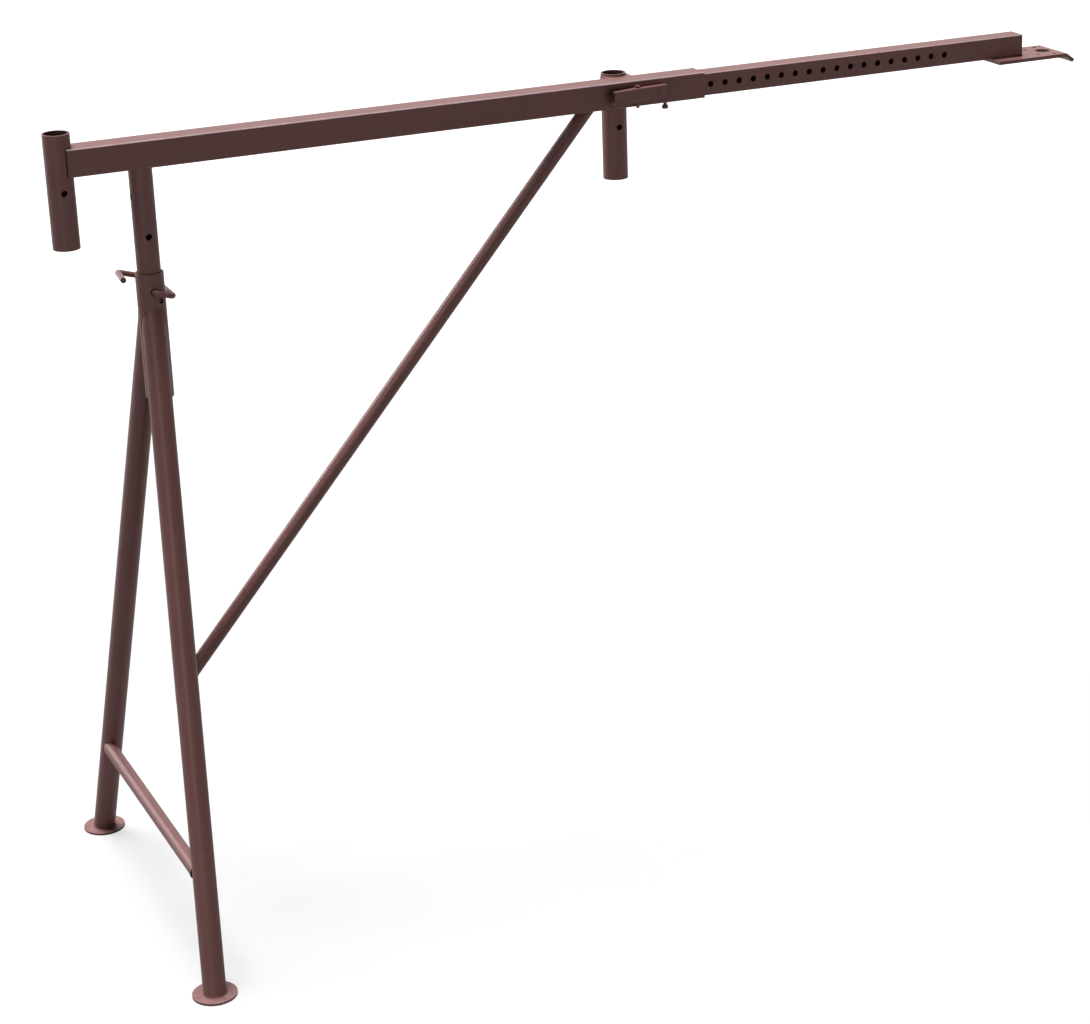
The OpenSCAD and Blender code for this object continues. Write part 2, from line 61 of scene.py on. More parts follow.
class Body(Enum):
    """Rigid bodies that new pieces ride on."""

    LEGS = "leg_frame"
    BEAM = "beam_frame"
    EXTENSION = "extension"
    LATCH = "latch"
    SCREW = "screw"


class Slot(Enum):
    """Material slots of the record."""

    PAINT = "paint"
    STEEL = "steel"


class Effect(Enum):
    """Shader groups of the finishes."""

    GRAIN = "enamel_grain"
    # Rubbed wear, dust with painted top light, and a painted highlight on top edges.
    WEAR_AND_LIGHT = "wear_dust_and_painted_light"
    BORE = "bore_shade"
    # Painted shade on the beam's front beside the latch.
    PAINTED_SHADE = "latch_painted_shade"


def from_beam(x: float, y: float, z: float) -> Vector:
    """Turns a point given in millimetres from the outer beam's end into the part's frame.

    Args:
        x: Distance along the beam from the outer beam's end.
        y: Distance to the rear of the beam's middle.
        z: Height above the beam's axis.

    Returns:
        The point in metres.
    """
    return Vector((x / MM_PER_M + BEAM_END_X, y / MM_PER_M, z / MM_PER_M + BEAM_HEIGHT))


def turns(count: int) -> list[float]:
    """A number of even angles round a whole turn, in radians from 0."""
    return [2 * math.pi * i / count for i in range(count)]


# Finishes


class Nodes:
    """A short way to add and link nodes in one tree."""

    def __init__(self, tree: bpy.types.NodeTree) -> None:
        """Keeps the tree and clears it.

        Args:
            tree: The node tree to fill.
        """
        self.tree = tree
        tree.nodes.clear()

    def add(self, kind: str, **values: object) -> bpy.types.Node:
        """Adds a node and sets its properties and unlinked inputs.

        Args:
            kind: The node's type name.
            values: Properties by name, or inputs by name with spaces as underscores.

        Returns:
            The new node.
        """
        node = self.tree.nodes.new(kind)
        for name, value in values.items():
            if hasattr(node, name):
                setattr(node, name, value)
            else:
                node.inputs[name.replace("_", " ")].default_value = value
        return node

    def link(self, source: bpy.types.NodeSocket, target: bpy.types.NodeSocket) -> None:
        """Links two sockets."""
        self.tree.links.new(source, target)

    def group(self, effect: Effect, **values: float) -> bpy.types.Node:
        """Adds a shader group and sets its inputs, named with spaces as underscores."""
        return self.add("ShaderNodeGroup", node_tree=bpy.data.node_groups[effect.value], **values)

    def math(
        self, operation: str, first: object, second: object = 0.0, clamp: bool = False
    ) -> bpy.types.NodeSocket:
        """Adds a Math node.

        Args:
            operation: The node's operation.
            first: A socket or a number.
            second: A socket or a number.
            clamp: Whether the result stays between 0 and 1.

        Returns:
            The result's socket.
        """
        node = self.add("ShaderNodeMath", operation=operation, use_clamp=clamp)
        for index, value in enumerate((first, second)):
            if isinstance(value, bpy.types.NodeSocket):
                self.link(value, node.inputs[index])
            else:
                node.inputs[index].default_value = value
        return node.outputs[0]

    def noise(
        self, where: bpy.types.NodeSocket, scale: float, detail: float, rough: float = 0.55
    ) -> bpy.types.NodeSocket:
        """Adds a noise texture.

        Args:
            where: The coordinates.
            scale: The texture's scale, in cells per metre.
            detail: The number of octaves.
            rough: How strong the finer octaves are.

        Returns:
            The noise value's socket.
        """
        node = self.add("ShaderNodeTexNoise", Scale=scale, Detail=detail, Roughness=rough)
        self.link(where, node.inputs["Vector"])
        return node.outputs["Fac"]

    def ramp(self, value: bpy.types.NodeSocket, low: float, high: float) -> bpy.types.NodeSocket:
        """Maps a value to 0 to 1 between two bounds, with soft ends.

        Args:
            value: The value's socket.
            low: The value that gives 0.
            high: The value that gives 1.

        Returns:
            The mapped value's socket.
        """
        node = self.add("ShaderNodeMapRange", interpolation_type="SMOOTHSTEP")
        node.inputs["From Min"].default_value = low
        node.inputs["From Max"].default_value = high
        self.link(value, node.inputs["Value"])
        return node.outputs["Result"]

    def mix(self, factor: bpy.types.NodeSocket, first: object, second: object) -> bpy.types.NodeSocket:
        """Mixes two colours.

        Args:
            factor: The mix factor's socket.
            first: A colour or its socket.
            second: A colour or its socket.

        Returns:
            The mixed colour's socket.
        """
        node = self.add("ShaderNodeMix", data_type="RGBA", blend_type="MIX")
        self.link(factor, node.inputs[0])
        for index, value in ((6, first), (7, second)):
            if isinstance(value, bpy.types.NodeSocket):
                self.link(value, node.inputs[index])
            else:
                node.inputs[index].default_value = (*value, 1.0)
        return node.outputs[2]


def new_group(effect: Effect, inputs: dict[str, float], outputs: tuple[str, ...]) -> bpy.types.NodeTree:
    """Makes an empty shader group with value sockets.

    Args:
        effect: Which effect the group is.
        inputs: Names and default values of the inputs.
        outputs: Names of the outputs.

    Returns:
        The group's tree.
    """
    tree = bpy.data.node_groups.new(effect.value, "ShaderNodeTree")
    for name, value in inputs.items():
        tree.interface.new_socket(name, in_out="INPUT", socket_type="NodeSocketFloat").default_value = value
    for name in outputs:
        tree.interface.new_socket(name, in_out="OUTPUT", socket_type="NodeSocketFloat")
    return tree


def make_grain_group() -> bpy.types.NodeTree:
    """Makes the fine grain of a sprayed enamel: specks, slow drift of tone and a bump height.

    Returns:
        The group's tree.
    """
    tree = new_group(Effect.GRAIN, {"Speck": 1.0, "Drift": 1.0}, ("Tone", "Height", "Gloss"))
    nodes = Nodes(tree)
    entry = nodes.add("NodeGroupInput")
    where = nodes.add("ShaderNodeTexCoord").outputs["Object"]
    fine = nodes.noise(where, scale=450.0, detail=4.0, rough=0.65)
    middle = nodes.noise(where, scale=210.0, detail=4.0)
    drift = nodes.noise(where, scale=7.0, detail=3.0)
    fine_part = nodes.math("SUBTRACT", nodes.ramp(fine, 0.32, 0.68), 0.5)
    drift_part = nodes.math("SUBTRACT", nodes.ramp(drift, 0.3, 0.7), 0.5)
    speck = nodes.math("MULTIPLY", fine_part, entry.outputs["Speck"])
    cloud = nodes.math("MULTIPLY", drift_part, entry.outputs["Drift"])
    half = nodes.math("MULTIPLY", nodes.math("SUBTRACT", middle, 0.5), entry.outputs["Speck"])
    tone = nodes.math("ADD", nodes.math("ADD", speck, nodes.math("MULTIPLY", cloud, 0.8)), half)
    leave = nodes.add("NodeGroupOutput")
    nodes.link(nodes.math("ADD", nodes.math("MULTIPLY", tone, 0.5), 0.5, clamp=True), leave.inputs["Tone"])
    nodes.link(nodes.math("ADD", fine, nodes.math("MULTIPLY", middle, 0.8)), leave.inputs["Height"])
    gloss = nodes.math("ADD", nodes.math("MULTIPLY", middle, 0.6), nodes.math("MULTIPLY", drift, 0.4))
    nodes.link(gloss, leave.inputs["Gloss"])
    return tree


def make_wear_and_light_group() -> bpy.types.NodeTree:
    """Makes masks for rubbed paint, for dust that also paints top light on faces that look up, and for a painted
    highlight on the beam's top edges.

    Returns:
        The group's tree.
    """
    tree = new_group(Effect.WEAR_AND_LIGHT, {"Rub": 0.5, "Dust": 0.5, "Edge": 0.0}, ("Rubbed", "Dusty", "EdgeHighlight"))
    nodes = Nodes(tree)
    entry = nodes.add("NodeGroupInput")
    spot = nodes.add("ShaderNodeTexCoord")
    where = spot.outputs["Object"]
    broad = nodes.noise(where, scale=26.0, detail=5.0, rough=0.62)
    chips = nodes.noise(where, scale=150.0, detail=6.0, rough=0.7)
    joined = nodes.math("ADD", nodes.math("MULTIPLY", broad, 0.6), nodes.math("MULTIPLY", chips, 0.4))
    rubbed = nodes.math("MULTIPLY", nodes.ramp(joined, 0.6, 0.72), entry.outputs["Rub"], clamp=True)
    split = nodes.add("ShaderNodeSeparateXYZ")
    nodes.link(spot.outputs["Normal"], split.inputs[0])
    # Faces that look up get dust, whose light colour also paints the light that falls on tops.
    up = nodes.ramp(split.outputs["Z"], 0.25, 1.0)
    patch = nodes.ramp(nodes.noise(where, scale=60.0, detail=6.0, rough=0.65), 0.2, 0.75)
    dust_and_top_light_mask = nodes.math("MULTIPLY", nodes.math("MULTIPLY", up, patch), entry.outputs["Dust"], clamp=True)
    # Painted highlight: lighter paint where faces slant between front or back and up, along the top edges.
    slant = nodes.math("MULTIPLY", nodes.math("ABSOLUTE", split.outputs["Y"]), split.outputs["Z"])
    highlight_patches = nodes.math("ADD", nodes.math("MULTIPLY", patch, 0.4), 0.6)
    edge_highlight = nodes.math("MULTIPLY", nodes.ramp(slant, 0.08, 0.3), highlight_patches)
    edge_highlight_mask = nodes.math("MULTIPLY", edge_highlight, entry.outputs["Edge"], clamp=True)
    leave = nodes.add("NodeGroupOutput")
    nodes.link(edge_highlight_mask, leave.inputs["EdgeHighlight"])
    nodes.link(rubbed, leave.inputs["Rubbed"])
    nodes.link(dust_and_top_light_mask, leave.inputs["Dusty"])
    return tree


def make_bore_group() -> bpy.types.NodeTree:
    """Makes masks for the inside of an upright tube and for painted shade that deepens down it.

    Returns:
        The group's tree.
    """
    places = {"Centre X": 0.0, "Centre Y": 0.0, "Radius": 0.02, "Top": 1.5}
    tree = new_group(Effect.BORE, places, ("Inside", "DeepShade"))
    nodes = Nodes(tree)
    entry = nodes.add("NodeGroupInput")
    split = nodes.add("ShaderNodeSeparateXYZ")
    nodes.link(nodes.add("ShaderNodeTexCoord").outputs["Object"], split.inputs[0])
    along_x = nodes.math("SUBTRACT", split.outputs["X"], entry.outputs["Centre X"])
    along_y = nodes.math("SUBTRACT", split.outputs["Y"], entry.outputs["Centre Y"])
    square_x = nodes.math("MULTIPLY", along_x, along_x)
    square_y = nodes.math("MULTIPLY", along_y, along_y)
    away = nodes.math("SQRT", nodes.math("ADD", square_x, square_y))
    depth = nodes.math("SUBTRACT", entry.outputs["Top"], split.outputs["Z"])
    leave = nodes.add("NodeGroupOutput")
    # Painted shade that grows with depth below the tube's top.
    nodes.link(nodes.ramp(depth, 0.015, 0.07), leave.inputs["DeepShade"])
    nodes.link(nodes.math("LESS_THAN", away, entry.outputs["Radius"]), leave.inputs["Inside"])
    return tree


def make_painted_shade_group() -> bpy.types.NodeTree:
    """Makes a mask for painted shade on a front face, strongest behind a piece and fading past its left end.

    Returns:
        The group's tree.
    """
    places = {"Left": 0.0, "Right": 0.05, "Height": 1.47, "Half": 0.013, "Fade": 0.016}
    tree = new_group(Effect.PAINTED_SHADE, places, ("Shaded",))
    nodes = Nodes(tree)
    entry = nodes.add("NodeGroupInput")
    spot = nodes.add("ShaderNodeTexCoord")
    split, facing = nodes.add("ShaderNodeSeparateXYZ"), nodes.add("ShaderNodeSeparateXYZ")
    nodes.link(spot.outputs["Object"], split.inputs[0])
    nodes.link(spot.outputs["Normal"], facing.inputs[0])
    fade = entry.outputs["Fade"]
    begun = nodes.math("DIVIDE", nodes.math("SUBTRACT", split.outputs["X"], entry.outputs["Left"]), fade)
    ended = nodes.math("DIVIDE", nodes.math("SUBTRACT", entry.outputs["Right"], split.outputs["X"]), fade)
    off = nodes.math("ABSOLUTE", nodes.math("SUBTRACT", split.outputs["Z"], entry.outputs["Height"]))
    within = nodes.math("DIVIDE", nodes.math("SUBTRACT", entry.outputs["Half"], off), fade)
    mask = nodes.math("MULTIPLY", nodes.ramp(begun, -1.0, 0.2), nodes.ramp(ended, 0.0, 1.0))
    mask = nodes.math("MULTIPLY", mask, nodes.ramp(within, -0.5, 0.2))
    front = nodes.ramp(nodes.math("MULTIPLY", facing.outputs["Y"], -1.0), 0.5, 0.9)
    leave = nodes.add("NodeGroupOutput")
    nodes.link(nodes.math("MULTIPLY", mask, front), leave.inputs["Shaded"])
    return tree


@dataclass(frozen=True)
class PaintedShade:
    """A patch of painted shade on a front face, in the part's frame."""

    left: float
    right: float
    height: float


@dataclass(frozen=True)
class Bore:
    """The inside of an upright tube, which gets painted shade, in the part's frame."""

    x: float
    y: float
    radius: float
    top: float


# Dust colour, lighter than the paint, so it also paints light on faces that look up.
DUST_AND_TOP_LIGHT: RGB = (0.300, 0.172, 0.165)
# Colour of the painted shade beside the latch.
PAINTED_SHADE: RGB = (0.060, 0.022, 0.019)
# Colour of the painted highlight on top edges.
EDGE_HIGHLIGHT: RGB = (0.62, 0.45, 0.47)
# Painted shade inside tubes: near the top, then deep down.
BORE_TOP_SHADE: RGB = (0.135, 0.058, 0.052)
BORE_DEEP_SHADE: RGB = (0.040, 0.020, 0.018)
PAINTED_SHADE_COVER = 0.8
GLOSS_SPREAD = 0.22
DUST_ROUGHNESS = 0.12
RUBBED_METAL = 0.5
BUMP_HEIGHT = 0.00025


@dataclass(frozen=True)
class Enamel:
    """A sprayed enamel over steel, with grain, rubbed places, a little dust that also paints top light, and optional
    painted edge highlight and painted shade.
    """

    name: str
    deep: RGB
    light: RGB
    under: RGB
    roughness: float
    rub: float
    dust_and_top_light: float
    speck: float
    bump: float
    specular: float = 0.35
    bore: Bore | None = None
    edge: float = 0.0
    painted_shade: PaintedShade | None = None

    def colour(self, nodes: Nodes, grain: bpy.types.Node, wear_and_light: bpy.types.Node) -> bpy.types.NodeSocket:
        """Layers the paint, the worn places, dust with painted top light, painted edge highlight, painted shade
        beside a piece and painted shade inside a tube.

        Args:
            nodes: The material's nodes.
            grain: The grain's group.
            wear_and_light: The group of rubbed places, dust with painted top light, and painted edge highlight.

        Returns:
            The colour's socket.
        """
        paint = nodes.mix(grain.outputs["Tone"], self.deep, self.light)
        rubbed = nodes.mix(wear_and_light.outputs["Rubbed"], paint, self.under)
        # Dust on faces that look up, also painting top light.
        coat = nodes.mix(wear_and_light.outputs["Dusty"], rubbed, DUST_AND_TOP_LIGHT)
        # Painted highlight along top edges.
        if self.edge:
            coat = nodes.mix(wear_and_light.outputs["EdgeHighlight"], coat, EDGE_HIGHLIGHT)
        # Painted shade beside a piece.
        if self.painted_shade:
            spot = self.painted_shade
            patch = nodes.group(Effect.PAINTED_SHADE, Left=spot.left, Right=spot.right, Height=spot.height)
            coat = nodes.mix(nodes.math("MULTIPLY", patch.outputs["Shaded"], PAINTED_SHADE_COVER), coat, PAINTED_SHADE)
        # Painted shade inside a tube, darker deeper down.
        if self.bore:
            tube = self.bore
            hollow = nodes.group(Effect.BORE, Centre_X=tube.x, Centre_Y=tube.y, Radius=tube.radius, Top=tube.top)
            inside = nodes.mix(hollow.outputs["DeepShade"], BORE_TOP_SHADE, BORE_DEEP_SHADE)
            coat = nodes.mix(hollow.outputs["Inside"], coat, inside)
        return coat

    def make(self) -> bpy.types.Material:
        """Builds the material.

        Returns:
            The new material.
        """
        material = bpy.data.materials.new(self.name)
        material.use_nodes = True
        nodes = Nodes(material.node_tree)
        grain = nodes.group(Effect.GRAIN, Speck=self.speck)
        wear_and_light = nodes.group(Effect.WEAR_AND_LIGHT, Rub=self.rub, Dust=self.dust_and_top_light, Edge=self.edge)
        shader = nodes.add("ShaderNodeBsdfPrincipled")
        shader.inputs["Specular IOR Level"].default_value = self.specular
        nodes.link(self.colour(nodes, grain, wear_and_light), shader.inputs["Base Color"])
        spread = nodes.math("MULTIPLY", grain.outputs["Gloss"], GLOSS_SPREAD)
        gloss = nodes.math("ADD", spread, self.roughness - GLOSS_SPREAD / 2)
        dulled = nodes.math("MULTIPLY", wear_and_light.outputs["Dusty"], DUST_ROUGHNESS)
        nodes.link(nodes.math("ADD", gloss, dulled, clamp=True), shader.inputs["Roughness"])
        nodes.link(nodes.math("MULTIPLY", wear_and_light.outputs["Rubbed"], RUBBED_METAL), shader.inputs["Metallic"])
        bump = nodes.add("ShaderNodeBump", Strength=self.bump, Distance=BUMP_HEIGHT)
        nodes.link(grain.outputs["Height"], bump.inputs["Height"])
        nodes.link(bump.outputs["Normal"], shader.inputs["Normal"])
        leave = nodes.add("ShaderNodeOutputMaterial")
        nodes.link(shader.outputs["BSDF"], leave.inputs["Surface"])
        return material


@dataclass(frozen=True)
class PlainSteel:
    """Dull oiled steel wire."""

    name: str
    colour: RGB
    stain: RGB
    roughness: float
    metallic: float = 0.85
    lift: float = 1.25
    rub: float = 1.0
    spread: float = 0.25
    centre: float = 0.12

    def make(self) -> bpy.types.Material:
        """Builds the material.

        Returns:
            The new material.
        """
        material = bpy.data.materials.new(self.name)
        material.use_nodes = True
        nodes = Nodes(material.node_tree)
        grain = nodes.group(Effect.GRAIN)
        wear_and_light = nodes.group(Effect.WEAR_AND_LIGHT, Rub=self.rub)
        shader = nodes.add("ShaderNodeBsdfPrincipled", Metallic=self.metallic)
        lifted = tuple(self.lift * c for c in self.colour)
        tone = nodes.mix(grain.outputs["Tone"], self.colour, lifted)
        nodes.link(nodes.mix(wear_and_light.outputs["Rubbed"], tone, self.stain), shader.inputs["Base Color"])
        gloss = nodes.math("MULTIPLY", grain.outputs["Gloss"], self.spread)
        rough = nodes.math("ADD", gloss, self.roughness - self.centre, clamp=True)
        nodes.link(rough, shader.inputs["Roughness"])
        leave = nodes.add("ShaderNodeOutputMaterial")
        nodes.link(shader.outputs["BSDF"], leave.inputs["Surface"])
        return material


TUBE_ENAMEL = Enamel(
    "tube_enamel", deep=(0.165, 0.070, 0.063), light=(0.235, 0.102, 0.093), under=(0.22, 0.14, 0.13),
    roughness=0.36, rub=0.15, dust_and_top_light=0.15, speck=0.8, bump=0.25)
BAR_ENAMEL = Enamel(
    "bar_enamel", deep=(0.165, 0.072, 0.066), light=(0.240, 0.108, 0.099), under=(0.26, 0.19, 0.18),
    roughness=0.32, rub=0.4, dust_and_top_light=0.1, speck=0.8, bump=0.2)
WELD_ENAMEL = Enamel(
    "weld_enamel", deep=(0.155, 0.066, 0.060), light=(0.225, 0.098, 0.089), under=(0.20, 0.13, 0.12),
    roughness=0.40, rub=0.15, dust_and_top_light=0.15, speck=1.0, bump=0.3)
SEAM_SHADE = Enamel(
    "seam_shade", deep=(0.020, 0.011, 0.010), light=(0.034, 0.019, 0.017), under=(0.03, 0.02, 0.02),
    roughness=0.7, rub=0.1, dust_and_top_light=0.0, speck=0.8, bump=0.10, specular=0.1)
SPRING_WIRE = PlainSteel(
    "spring_wire", colour=(0.22, 0.21, 0.20), stain=(0.12, 0.075, 0.055), roughness=0.42)


# Swept pieces


def make_sweep_tree() -> bpy.types.NodeTree:
    """Makes the geometry tree that sweeps a round section along edge paths, with a ripple for weld beads.

    Returns:
        The tree, with inputs Radius, Step, Ripple, Ripple Length, Sides and Material.
    """
    tree = bpy.data.node_groups.new("swept_bead", "GeometryNodeTree")
    face = tree.interface
    face.new_socket("Geometry", in_out="INPUT", socket_type="NodeSocketGeometry")
    for name, value in (("Radius", 0.0015), ("Step", 0.0008), ("Ripple", 0.2), ("Ripple Length", 0.002)):
        face.new_socket(name, in_out="INPUT", socket_type="NodeSocketFloat").default_value = value
    face.new_socket("Sides", in_out="INPUT", socket_type="NodeSocketInt").default_value = 8
    face.new_socket("Material", in_out="INPUT", socket_type="NodeSocketMaterial")
    face.new_socket("Geometry", in_out="OUTPUT", socket_type="NodeSocketGeometry")
    nodes = Nodes(tree)
    entry = nodes.add("NodeGroupInput")
    curve = nodes.add("GeometryNodeMeshToCurve")
    nodes.link(entry.outputs["Geometry"], curve.inputs["Mesh"])
    steps = nodes.add("GeometryNodeResampleCurve", mode="LENGTH")
    nodes.link(curve.outputs["Curve"], steps.inputs["Curve"])
    nodes.link(entry.outputs["Step"], steps.inputs["Length"])
    run = nodes.add("GeometryNodeSplineParameter").outputs["Length"]
    turn = nodes.math("MULTIPLY", nodes.math("DIVIDE", run, entry.outputs["Ripple Length"]), 2 * math.pi)
    wave = nodes.math("MULTIPLY", nodes.math("SINE", turn), entry.outputs["Ripple"])
    seeded = nodes.add("ShaderNodeTexNoise", noise_dimensions="3D", Scale=160.0, Detail=2.0)
    nodes.link(nodes.add("GeometryNodeInputPosition").outputs[0], seeded.inputs["Vector"])
    centred = nodes.math("SUBTRACT", seeded.outputs["Fac"], 0.5)
    uneven = nodes.math("MULTIPLY", centred, entry.outputs["Ripple"])
    swell = nodes.math("ADD", nodes.math("ADD", wave, nodes.math("MULTIPLY", uneven, 2.0)), 1.0)
    size = nodes.add("GeometryNodeSetCurveRadius")
    nodes.link(steps.outputs["Curve"], size.inputs["Curve"])
    nodes.link(nodes.math("MULTIPLY", swell, entry.outputs["Radius"]), size.inputs["Radius"])
    ring = nodes.add("GeometryNodeCurvePrimitiveCircle", mode="RADIUS")
    ring.inputs["Radius"].default_value = 1.0
    nodes.link(entry.outputs["Sides"], ring.inputs["Resolution"])
    sweep = nodes.add("GeometryNodeCurveToMesh")
    sweep.inputs["Fill Caps"].default_value = True
    nodes.link(size.outputs["Curve"], sweep.inputs["Curve"])
    nodes.link(ring.outputs["Curve"], sweep.inputs["Profile Curve"])
    reach = nodes.add("GeometryNodeInputRadius")
    nodes.link(reach.outputs["Radius"], sweep.inputs["Scale"])
    smooth = nodes.add("GeometryNodeSetShadeSmooth")
    nodes.link(sweep.outputs["Mesh"], smooth.inputs["Geometry"])
    whole = nodes.add("GeometryNodeRealizeInstances")
    nodes.link(smooth.outputs["Geometry"], whole.inputs["Geometry"])
    coat = nodes.add("GeometryNodeSetMaterial")
    nodes.link(whole.outputs["Geometry"], coat.inputs["Geometry"])
    nodes.link(entry.outputs["Material"], coat.inputs["Material"])
    leave = nodes.add("NodeGroupOutput")
    nodes.link(coat.outputs["Geometry"], leave.inputs["Geometry"])
    return tree


@dataclass
class SweptPiece:
    """A round section swept along one or more paths, as one mesh on one body."""

    name: str
    body: Body
    slot: Slot
    material: bpy.types.Material
    radius: float
    step: float
    ripple: float = 0.0
    ripple_length: float = 0.002
    sides: int = 8

    def build(self, tree: bpy.types.NodeTree, paths: list[Route]) -> bpy.types.Object:
        """Sweeps the paths and puts the piece on its body.

        Args:
            tree: The sweep's geometry tree.
            paths: Each path with whether it is closed.

        Returns:
            The finished piece.
        """
        points: list[Vector] = []
        edges: list[tuple[int, int]] = []
        for path, closed in paths:
            first = len(points)
            points.extend(path)
            edges.extend((first + i, first + i + 1) for i in range(len(path) - 1))
            if closed:
                edges.append((len(points) - 1, first))
        guide_mesh = bpy.data.meshes.new(self.name + "_guide")
        guide_mesh.from_pydata([tuple(p) for p in points], edges, [])
        guide = bpy.data.objects.new(self.name, guide_mesh)
        bpy.context.scene.collection.objects.link(guide)
        modifier = guide.modifiers.new("sweep", "NODES")
        modifier.node_group = tree
        values = {"Radius": self.radius, "Step": self.step, "Ripple": self.ripple,
                  "Ripple Length": self.ripple_length, "Sides": self.sides, "Material": self.material}
        for item in tree.interface.items_tree:
            if item.item_type == "SOCKET" and item.in_out == "INPUT" and item.name in values:
                modifier[item.identifier] = values[item.name]
        depsgraph = bpy.context.evaluated_depsgraph_get()
        mesh = bpy.data.meshes.new_from_object(guide.evaluated_get(depsgraph), depsgraph=depsgraph)
        guide.modifiers.remove(modifier)
        mesh.name = self.name
        guide.data = mesh
        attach(guide, self.body.value)
        LOG.info("%s: %d faces on %s", self.name, len(mesh.polygons), self.body.value)
        return guide


def across(axis: Vector) -> tuple[Vector, Vector]:
    """Two unit vectors square to an axis and to each other.

    Args:
        axis: The axis.

    Returns:
        The two vectors.
    """
    side = axis.orthogonal().normalized()
    return side, axis.cross(side).normalized()


def exit_from_tube(
    start: Vector, along: Vector, centre: Vector, axis: Vector, radius: float, far: bool
) -> Vector:
    """Where a line crosses a round tube.

    Args:
        start: A point on the line.
        along: The line's unit direction.
        centre: A point on the tube's axis.
        axis: The tube's unit axis.
        radius: The tube's radius.
        far: Whether the crossing further along the line is wanted.

    Returns:
        The crossing.
    """
    across_line = along - axis * along.dot(axis)
    offset = start - centre
    offset = offset - axis * offset.dot(axis)
    a = across_line.length_squared
    b = 2 * offset.dot(across_line)
    c = offset.length_squared - radius * radius
    root = math.sqrt(max(b * b - 4 * a * c, 0.0))
    return start + along * ((-b + root) / (2 * a) if far else (-b - root) / (2 * a))


@dataclass
class LegFrame:
    """The splayed legs, in millimetres from the beam."""

    mast_x: float = 132.4
    meet_z: float = -270.0
    floor_z: float = -1470.0
    leg_r: float = 21.2
    sleeve_r: float = 25.5
    splay: float = 17.2
    lean: float = 4.6
    foot_t: float = 4.0
    tie_r: float = 13.45
    tie_h: float = 210.0
    tie_off: float = 8.0
    tie_end: float = 14.0
    pin_z: float = -249.0
    rim_r: float = 6.6
    sleeve_top: float = -217.0
    gap_r: float = 22.05
    bead: float = 0.4

    def axis(self, side: int) -> tuple[Vector, Vector]:
        """A leg's start and unit direction, in millimetres.

        Args:
            side: -1 for the front leg, 1 for the rear.

        Returns:
            The start and the direction.
        """
        lean, splay = math.tan(math.radians(self.lean)), math.tan(math.radians(self.splay))
        along = Vector((-lean, side * splay, -1.0))
        return Vector((self.mast_x, 0.0, self.meet_z)), along.normalized()

    def ring(self, side: int, count: int) -> list[Vector]:
        """Points round a leg's start, on its surface.

        Args:
            side: -1 for the front leg, 1 for the rear.
            count: The number of points.

        Returns:
            The points in millimetres.
        """
        start, along = self.axis(side)
        one, two = across(along)
        return [start + self.leg_r * (math.cos(t) * one + math.sin(t) * two) for t in turns(count)]

    def pin_rims(self) -> list[Route]:
        """Dark rings of painted shade at the edges of the sleeve's pin hole, front and rear.

        Returns:
            The closed paths in metres.
        """
        paths: list[Route] = []
        for side in (-1, 1):
            rim = []
            for t in turns(48):
                x = self.rim_r * math.cos(t)
                y = side * math.sqrt(self.sleeve_r ** 2 - x * x)
                rim.append(from_beam(self.mast_x + x, y, self.pin_z + self.rim_r * math.sin(t)))
            paths.append((rim, True))
        return paths

    def sleeve_rim(self) -> Path:
        """A dark ring of painted shade in the gap round the mast, at the sleeve's top.

        Returns:
            The closed path in metres.
        """
        x, radius = self.mast_x, self.gap_r
        return [from_beam(x + radius * math.cos(t), radius * math.sin(t), self.sleeve_top) for t in turns(72)]

    def welds(self) -> list[Route]:
        """Weld paths at the sleeve, the feet and the tie bar.

        Returns:
            The closed paths in metres.
        """
        paths: list[Route] = []
        depth = self.meet_z - (self.floor_z + self.tie_h)
        foot_z = self.floor_z + self.foot_t + self.bead
        up = Vector((0, 0, 1))
        for side in (-1, 1):
            start, along = self.axis(side)
            top = [exit_from_tube(p, along, start, up, self.sleeve_r, True) for p in self.ring(side, 96)]
            foot = [p + along * ((foot_z - p.z) / along.z) for p in self.ring(side, 48)]
            middle = start + along * (depth / -along.z)
            axis_x, cut_y = middle.x - self.tie_off, abs(middle.y) - self.tie_end
            tie = []
            for t in turns(40):
                begin = Vector((axis_x + self.tie_r * math.cos(t), 0.0, middle.z + self.tie_r * math.sin(t)))
                point = exit_from_tube(begin, Vector((0, side, 0)), start, along, self.leg_r, False)
                tie.append(Vector((point.x, side * min(abs(point.y), cut_y), point.z)))
            paths.extend(([from_beam(*p) for p in path], True) for path in (top, foot, tie))
        return paths


